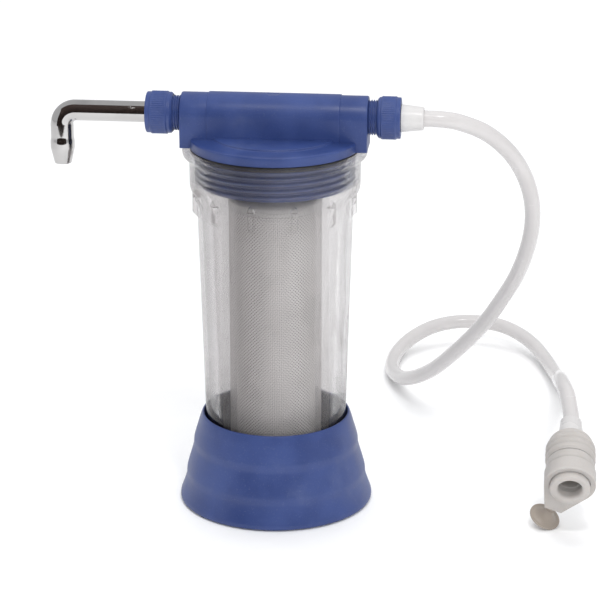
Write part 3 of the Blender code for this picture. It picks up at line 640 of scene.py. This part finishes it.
head = {"skirt": 0.254, "threadTop": 0.2750, "root": 0.0578, "crest": 0.0599, "flange": 0.0639,
        "flangeLow": 0.282, "flangeTop": 0.2894, "boss": 0.0471, "bossTop": 0.291, "barrel": 0.0160,
        "middle": 0.0167, "half": 0.070, "middleHalf": 0.0495, "dishX": -0.0012, "dish": 0.0052,
        "dishDepth": 0.0009, "stubRoot": 0.0122, "stubCrest": 0.0132, "stubPitch": 0.001814,
        "stubBore": 0.0085, "stubEnds": (0.088, 0.0868)}


def makeCover(values):
    # one outline, from the boss's middle over the flange, down the thread and up inside the skirt,
    # turned round Z
    flange, skirt, crest, root = values["flange"], values["skirt"], values["crest"], values["root"]
    boss, flangeTop, threadTop = values["boss"], values["flangeTop"], values["threadTop"]
    top = [(0.0, values["bossTop"], 0), (boss, values["bossTop"], 0.0006),
           (boss + 0.0004, flangeTop + 0.0004, 0.0004), (boss + 0.0012, flangeTop, 0.0004),
           (flange, flangeTop, 0.0016), (flange, values["flangeLow"], 0.0006),
           (crest, values["flangeLow"], 0.0003), (crest, 0.2757, 0.0004), (root, threadTop, 0.0003)]
    bottom = [(root, skirt + 0.0010, 0), (0.0570, skirt, 0.0006), (0.0538, skirt, 0.0006),
              (0.0530, 0.2835, 0.001), (0.0155, 0.2835, 0.001), (0.0145, 0.2602, 0.0005),
              (0.0130, 0.2582, 0.0004), (0.0, 0.2582, 0)]
    face = refined(np.array([(root, threadTop), (root, skirt + 0.0010)]), 0.00028)
    line = np.vstack([softened(top, closed=False), face[1:], softened(bottom, closed=False)[1:]])
    points = threaded(lathe(refined(line, 0.012), 168), {
        **bowlThread, "phase": -0.25, "low": skirt + 0.0012, "high": 0.2752, "root": root, "crest": crest})
    addPiece("headCover", [(points, False)], "blue", "head", ["head"])


def barrelRow(radius, low, x):  # half-round top on straight sides, as one closed loop of points at this x
    arc = np.linspace(0.0, pi, 61)
    side = np.linspace(0.15, 1.0, 7)
    fall = portHeight - (portHeight - low) * side
    y = np.concatenate([radius * np.cos(arc), np.full(7, -radius), np.linspace(-radius, radius, 5)[1:-1],
                        np.full(7, radius)])
    z = np.concatenate([portHeight + radius * np.sin(arc), fall, np.full(3, low), fall[::-1]])
    return np.stack([np.full_like(y, x), y, z], -1)


def makeBarrel(values):
    # the same row of points at each x, thicker in the middle, closed at both ends, with a shallow dish on top
    low = values["flangeLow"] + 0.0002
    radius, middle, half, step = values["barrel"], values["middle"], values["half"], values["middleHalf"]
    near = [(x, middle) for x in np.arange(0.0, 0.0102, 0.0006)]
    far = [(0.011, middle), (0.03, middle), (step - 0.0008, middle), (step - 0.0001, middle - 0.0002),
           (step + 0.0002, radius), (half - 0.0010, radius), (half - 0.0003, radius - 0.0003),
           (half, radius - 0.0010)]
    halfRun = near + far
    run = [(-x, r) for x, r in reversed(halfRun[1:])] + halfRun
    rows = np.stack([barrelRow(r, low, x) for x, r in run])
    dish = np.clip(1 - np.hypot(rows[..., 0] - values["dishX"], rows[..., 1]) / values["dish"], 0.0, 1.0)
    drop = values["dishDepth"] * np.clip(dish * 4, 0, 1)
    rows[..., 2] -= np.where(rows[..., 2] > portHeight, drop, 0.0)
    ends = [np.broadcast_to(np.array((sign * half, 0.0, portHeight)), rows[:1].shape) for sign in (-1, 1)]
    grids = [(np.concatenate([ends[0], rows, ends[1]]), False)]
    addPiece("headBarrel", grids, "blue", "head", [], crease=28.0)


def makeStubs(values):
    # an outline from the bore over the end and along the thread, turned round the port's axis
    crest, root, bore = values["stubCrest"], values["stubRoot"], values["stubBore"]
    buried = -0.002  # the outline starts inside the barrel
    for name, direction, end in (("outletStub", -1, values["stubEnds"][0]),
                                 ("inletStub", 1, values["stubEnds"][1])):
        length = end - values["half"]
        tip = [(bore, length, 0.0003), (crest - 0.0012, length, 0.0003), (root, length - 0.0012, 0)]
        face = refined(np.array([(root, length - 0.0012), (root, buried)]), 0.00014)
        line = np.vstack([softened(tip, closed=False), face[1:], np.array([(bore, buried)])])
        points = threaded(lathe(line, 88), {
            "pitch": values["stubPitch"], "start": 0.0, "phase": 0.3, "low": 0.0, "high": length - 0.0010,
            "root": root, "crest": crest})
        points = placed(points, alongX(direction * values["half"], direction))
        addPiece(name, [(points, True)], "blue", "head", [])


seal = {"inside": 0.0607, "outside": 0.0635, "low": 0.2783, "high": 0.2817, "rounding": 0.0006}


def makeSeal(values):  # a ring of rounded square section, turned round Z
    inside, outside, low, high = values["inside"], values["outside"], values["low"], values["high"]
    corners = [(inside, high), (outside, high), (outside, low), (inside, low)]
    line = softened([(*corner, values["rounding"]) for corner in corners])
    addPiece("bowlSeal", [(lathe(line, 120), True)], "blackRubber", "head", ["bowl_seal"])


# The couplings: ribbed nuts, spout, ferrule

nuts = (
    {"name": "outletNut", "node": "outlet_nut", "body": "outlet_nut", "place": -0.0763, "direction": -1,
     "length": 0.0198, "band": (0.0042, 0.0160), "bore": 0.0082, "lip": 0.0021},
    {"name": "inletNut", "node": "inlet_nut", "body": "inlet_nut", "place": 0.0768, "direction": 1,
     "length": 0.0172, "band": (0.0032, 0.0138), "bore": 0.0072, "lip": 0.0022},
)
nutShape = {"crest": 0.0161, "root": 0.0154, "inside": 0.0136, "ribs": 60, "depth": 0.00034}


def makeNut(values, shape):
    # a ring with a raised band, turned round the port's axis, and ribs cut in the band
    length, (low, high) = values["length"], values["band"]
    crest, root = shape["crest"], shape["root"]
    corners = [
        (root - 0.0003, length, 0.0003), (root, length - 0.0006, 0.0003), (root, high + 0.0005, 0.0003),
        (crest, high, 0.0003), (crest, low, 0.0003), (root, low - 0.0006, 0.0003), (root, 0.0014, 0.0004),
        (root - 0.0014, 0.0, 0.0004), (shape["inside"], 0.0, 0.0003),
        (shape["inside"], length - values["lip"], 0.0003), (values["bore"], length - values["lip"], 0.0003),
        (values["bore"], length, 0.0003),
    ]
    line = refined(softened(corners), 0.0012, True)
    points = knurled(lathe(line, shape["ribs"] * 5), {
        "count": shape["ribs"], "low": low + 0.0003, "high": high - 0.0003, "fade": 0.0006,
        "root": crest - 0.0002, "depth": shape["depth"]})
    points = placed(points, alongX(values["place"], values["direction"]))
    addPiece(values["name"], [(points, True)], "blue", values["body"], [values["node"]])


spout = {"radius": 0.0079, "leg": 0.0087, "wall": 0.0013, "bend": 0.011, "legX": -0.1612, "tip": 0.2645,
         "tipRadius": 0.0064, "flare": 0.0005, "start": -0.0906, "collarEnd": -0.0924, "collar": 0.0118,
         "collarEdge": 0.0114}


def stations(x, z, lean, radius):  # rings of a pipe in the X-Z plane: place, lean from upright, and radius
    return np.stack(np.broadcast_arrays(x, z, lean, radius), 1)


def makeSpout(values):
    # rings square to the path, along a straight run, a quarter turn down and a tapered leg,
    # then back up the bore
    radius, legRadius, wall, legX = values["radius"], values["leg"], values["wall"], values["legX"]
    thin, flared, tipRadius = radius - wall, legRadius + values["flare"], values["tipRadius"]
    bendX, bendZ = legX + values["bend"], portHeight - values["bend"]
    turn = np.linspace(0.0, pi / 2, 19)
    run = np.linspace(values["collarEnd"], bendX, 14)
    arcX, arcZ = bendX - values["bend"] * np.sin(turn), bendZ + values["bend"] * np.cos(turn)
    leg = softened([(legRadius, bendZ, 0), (legRadius, 0.2845, 0.0010), (flared, 0.2812, 0.0010),
                    (flared, 0.2765, 0.0004), (tipRadius, values["tip"], 0.0004),
                    (tipRadius - wall, values["tip"], 0)], closed=False)[1:]
    collarX = (values["start"],) * 4 + (values["collarEnd"],) * 2
    collarRadii = (thin, thin, values["collarEdge"], values["collar"], values["collar"], radius)
    boreRadii = np.linspace(legRadius, radius, 19) - wall
    x, z, lean, radii = np.vstack([
        stations(collarX, portHeight, 0.0, collarRadii),
        stations(run[1:], portHeight, 0.0, radius),
        stations(arcX[1:], arcZ[1:], turn[1:], radius + (legRadius - radius) * turn[1:] / (pi / 2)),
        stations(legX, leg[:, 1], pi / 2, leg[:, 0]),
        stations(legX, (0.272, bendZ - 0.002), pi / 2, (legRadius - wall - 0.0008, legRadius - wall)),
        stations(arcX[::-1], arcZ[::-1], turn[::-1], boreRadii),
        stations(run[::-1][1:-1], portHeight, 0.0, thin),
    ]).T
    across = np.stack([-np.sin(lean), np.zeros_like(lean), np.cos(lean)], 1)
    centre = np.stack([x, np.zeros_like(x), z], 1)
    ring = np.linspace(0.0, tau, 56, endpoint=False)[None, :, None]
    rim = across[:, None] * np.cos(ring) + np.array((0.0, 1.0, 0.0)) * np.sin(ring)
    points = centre[:, None] + radii[:, None, None] * rim
    addPiece("spoutPipe", [(points, True)], "chrome", "spout", ["spout"], crease=40.0)


ferrule = {"place": 0.0943, "length": 0.0168, "base": 0.0104, "tip": 0.0087, "bore": 0.00695}


def makeFerrule(values):  # a tapered sleeve, turned round the port's axis
    length, tip, bore = values["length"], values["tip"], values["bore"]
    corners = [(tip - 0.0007, length, 0.0004), (tip, length - 0.0008, 0.0004), (values["base"], 0.0, 0.0003),
               (bore, 0.0, 0.0003), (bore, length, 0.0003)]
    points = placed(lathe(softened(corners), 72), alongX(values["place"], 1))
    addPiece("hoseFerrule", [(points, True)], "white", "inlet_carrier", ["hose_ferrule"])


# The tap connector: its own +Z runs from the mouth back towards the hose, and +Y is its underside

tap = {"tilt": 24.0, "mouth": (0.2275, -0.0650, 0.0422), "clampTurn": 23.0, "screwPlace": 0.0083,
       "foot": 0.0310, "halfFoot": 0.0068, "band": 0.0194, "hole": 0.0152, "tailEnd": 0.0680,
       "bootEnd": 0.0510, "hoseSocket": 0.00665, "screwTop": 0.0228, "shank": 0.0030, "neck": 0.0038,
       "neckPlace": 0.0049, "wheel": 0.0121, "wheelPlace": 0.0139}


def tapFrame(values):
    return Matrix.Translation(values["mouth"]) @ Matrix.Rotation(radians(values["tilt"] - 90), 4, "X")


def clampFrame(values):
    turn = Matrix.Rotation(radians(values["clampTurn"]), 4, "Z") @ Matrix.Rotation(-pi / 2, 4, "X")
    return tapFrame(values) @ Matrix.Translation((0, 0, values["screwPlace"])) @ turn


def makeBoot(values):
    # the dome steps down in three rounded rings, and the sleeve goes on through the clamp to the mouth's lip
    end = values["bootEnd"]
    corners = [
        (0.0054, end, 0.0004), (0.0094, end, 0.0010), (0.0132, 0.0494, 0.0016), (0.0160, 0.0464, 0.0020),
        (0.0170, 0.0440, 0.0012), (0.0168, 0.0420, 0.0008), (0.0184, 0.0405, 0.0014),
        (0.0190, 0.0382, 0.0014), (0.0179, 0.0359, 0.0010), (0.0190, 0.0342, 0.0012),
        (0.0190, 0.0322, 0.0012), (0.0179, 0.0302, 0.0008), (0.0189, 0.0290, 0.0010),
        (0.0189, 0.0266, 0.0012), (0.0179, 0.0252, 0.0008), (0.0177, 0.0244, 0.0004),
        (0.0148, 0.0244, 0.0004), (0.0148, 0.0018, 0.0004), (0.0152, 0.0006, 0.0006),
        (0.0152, -0.0012, 0.0012), (0.0144, -0.0030, 0.0014), (0.0106, -0.0030, 0.0016),
        (0.0090, -0.0012, 0.0016), (0.0088, 0.0040, 0.0006), (0.0091, 0.0046, 0.0004),
        (0.0091, 0.0080, 0.0006), (0.0086, 0.0086, 0.0004), (0.0088, 0.0300, 0.002), (0.0070, 0.0340, 0.001),
        (0.0054, 0.0360, 0.0006),
    ]
    points = placed(lathe(softened(corners), 96), tapFrame(values))
    return addPiece("tapBoot", [(points, True)], "paleRubber", "base", ["tap_boot"])


def makeTail(values):  # a stepped sleeve, turned round the socket's axis
    end, face = values["tailEnd"], values["bootEnd"] + 0.0003
    corners = [(0.0083, end, 0.0005), (0.0088, 0.0610, 0.002), (0.0093, 0.0560, 0.0010),
               (0.0093, face, 0.0003), (0.0051, face, 0.0002), (0.0051, 0.0410, 0.0003),
               (0.0030, 0.0410, 0.0002), (0.0030, 0.0661, 0.0003), (0.0044, 0.0661, 0.0003),
               (0.0044, 0.0538, 0.0002), (values["hoseSocket"], 0.0538, 0.0002),
               (values["hoseSocket"], end, 0.0003)]
    points = placed(lathe(softened(corners), 64), tapFrame(values))
    return addPiece("tapTail", [(points, True)], "white", "base", ["tap_tail"])


def makeClamp(values):
    # the plate's edge: a circle round the socket, and two flanks that touch it and end at the foot
    band, foot, halfFoot = values["band"], values["foot"], values["halfFoot"]
    lean = atan2(halfFoot, foot) + acos(band / hypot(halfFoot, foot))
    turn = np.linspace(-pi, pi, 144, endpoint=False)
    flank = band / np.maximum(np.cos(np.abs(turn) - lean), 1e-3)
    sole = foot / np.maximum(np.cos(turn), 1e-3)
    edge = np.where(np.abs(turn) < lean, np.minimum(flank, sole), band)
    hole, rounded = np.full_like(edge, values["hole"]), 0.0008
    radii = np.stack([hole, edge - rounded, edge - 0.9 * rounded, edge, edge, edge - 0.9 * rounded, hole])
    height = np.array((0.0024, 0.0024, 0.0020, 0.0028, 0.0138, 0.0146, 0.0146))[:, None] + 0 * edge
    aim = turn + pi / 2 + radians(values["clampTurn"])
    plate = np.stack([radii * np.cos(aim), radii * np.sin(aim), height], -1)
    ring = softened([(0.0180, 0.0140, 0.0004), (0.0178, 0.0152, 0.0006), (0.0185, 0.0170, 0.0012),
                     (0.0184, 0.0212, 0.0016), (0.0176, 0.0238, 0.0008), (0.0172, 0.0241, 0.0003),
                     (values["hole"], 0.0241, 0.0004), (values["hole"], 0.0140, 0.0003)])
    grids = [(placed(plate, tapFrame(values)), True), (placed(lathe(ring, 96), tapFrame(values)), True)]
    return addPiece("tapClamp", grids, "paleRubber", "base", ["tap_clamp"])


def makeScrew(values):
    # a shank, a neck that widens like a trumpet and a wheel with a ribbed rim, turned round the screw's axis
    foot, wheelRadius, shank, neck = values["foot"], values["wheel"], values["shank"], values["neck"]
    wheel, neckEnd = foot + values["wheelPlace"], foot + values["neckPlace"]
    flare = np.linspace(0.0, 1.0, 12)
    trumpet = np.stack([neck + 0.0049 * flare ** 2.2, neckEnd + (wheel - neckEnd - 0.0005) * flare], 1)
    top = softened([(0.0, values["screwTop"], 0), (shank, values["screwTop"], 0.0003),
                    (shank, foot + 0.0041, 0), (neck, neckEnd, 0)], closed=False)
    disc = softened([(*trumpet[-1], 0), (0.0100, wheel, 0.0006), (wheelRadius, wheel, 0.0004),
                     (wheelRadius, wheel + 0.0014, 0.0005), (0.0090, wheel + 0.0018, 0.0006),
                     (0.0, wheel + 0.0018, 0)], closed=False)
    line = np.vstack([top, trumpet[1:], disc[1:]])
    points = knurled(lathe(line, 160), {
        "count": 40, "low": wheel - 0.001, "high": wheel + 0.0026, "fade": 0.0002, "root": wheelRadius,
        "depth": 0.00025})
    points = placed(points, clampFrame(values))
    return addPiece("clampScrew", [(points, False)], "tan", "clamp_screw", ["clamp_screw"])


carried = {  # CAD nodes that stay, and their finishes
    "bottom_gasket": "blackRubber", "carbon_block": "carbon", "core_tube": "white",
    "top_gasket": "blackRubber", "outlet_washer": "blackRubber", "outlet_slip_ring": "white",
    "inlet_washer": "blackRubber", "hose_tail": "white", "clamp_nut": "brass", "pressure_pad": "white",
}


def paintNodes(nodes):
    for name, finish in carried.items():
        data = nodes[name].data
        data.materials.clear()
        data.materials.append(finishes[finish])


# Floor, and a dark card that only reflections see

def makeStage(values):
    # the floor is a flat disc; the card is a strip bent round X on a circle about the origin
    reach = values["floorReach"]
    radii = np.array((0.0, 0.3, 1.0, 2.0, reach))
    disc = lathe(np.stack([radii, np.full_like(radii, -0.0001)], 1), 64)
    floor = addPiece("floor", [(disc, False)], "floor", None)
    turn = np.linspace(*np.radians(values["cardAngles"]), 24)
    y, z = -values["cardReach"] * np.cos(turn), values["cardReach"] * np.sin(turn)
    strip = np.concatenate([np.stack([np.full_like(y, x), y, z], 1) for x in values["cardSides"]])
    count = len(turn)
    row = np.arange(count - 1)
    faces = np.stack([row, row + 1, row + 1 + count, row + count], 1)
    mesh = bpy.data.meshes.new("card")
    mesh.from_pydata(strip.tolist(), [], faces.tolist())
    mesh.materials.append(finishes["card"])
    card = bpy.data.objects.new("card", mesh)
    bpy.context.scene.collection.objects.link(card)
    card.visible_camera = False
    card.visible_diffuse = False
    card.visible_shadow = False
    card.visible_transmission = False


setCamera(camera)
setAir(studio)
for light in lights:
    setLight(light)
hosePiece, hosePath = makeHose(hose)
print("camera, light and hose made")
makeStand(stand)
makeBowl(bowl)
print("stand and bowl made")
makeCaps(cartridge)
makeWrap(cartridge)
makeNet(cartridge)
print("cartridge made")
makeCover(head)
makeBarrel(head)
makeStubs(head)
makeSeal(seal)
for nut in nuts:
    makeNut(nut, nutShape)
makeSpout(spout)
makeFerrule(ferrule)
print("head and couplings made")
bootPiece = makeBoot(tap)
tailPiece = makeTail(tap)
clampPiece = makeClamp(tap)
screwPiece = makeScrew(tap)
paintNodes(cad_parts)
makeStage(studio)
print("tap connector and stage made")
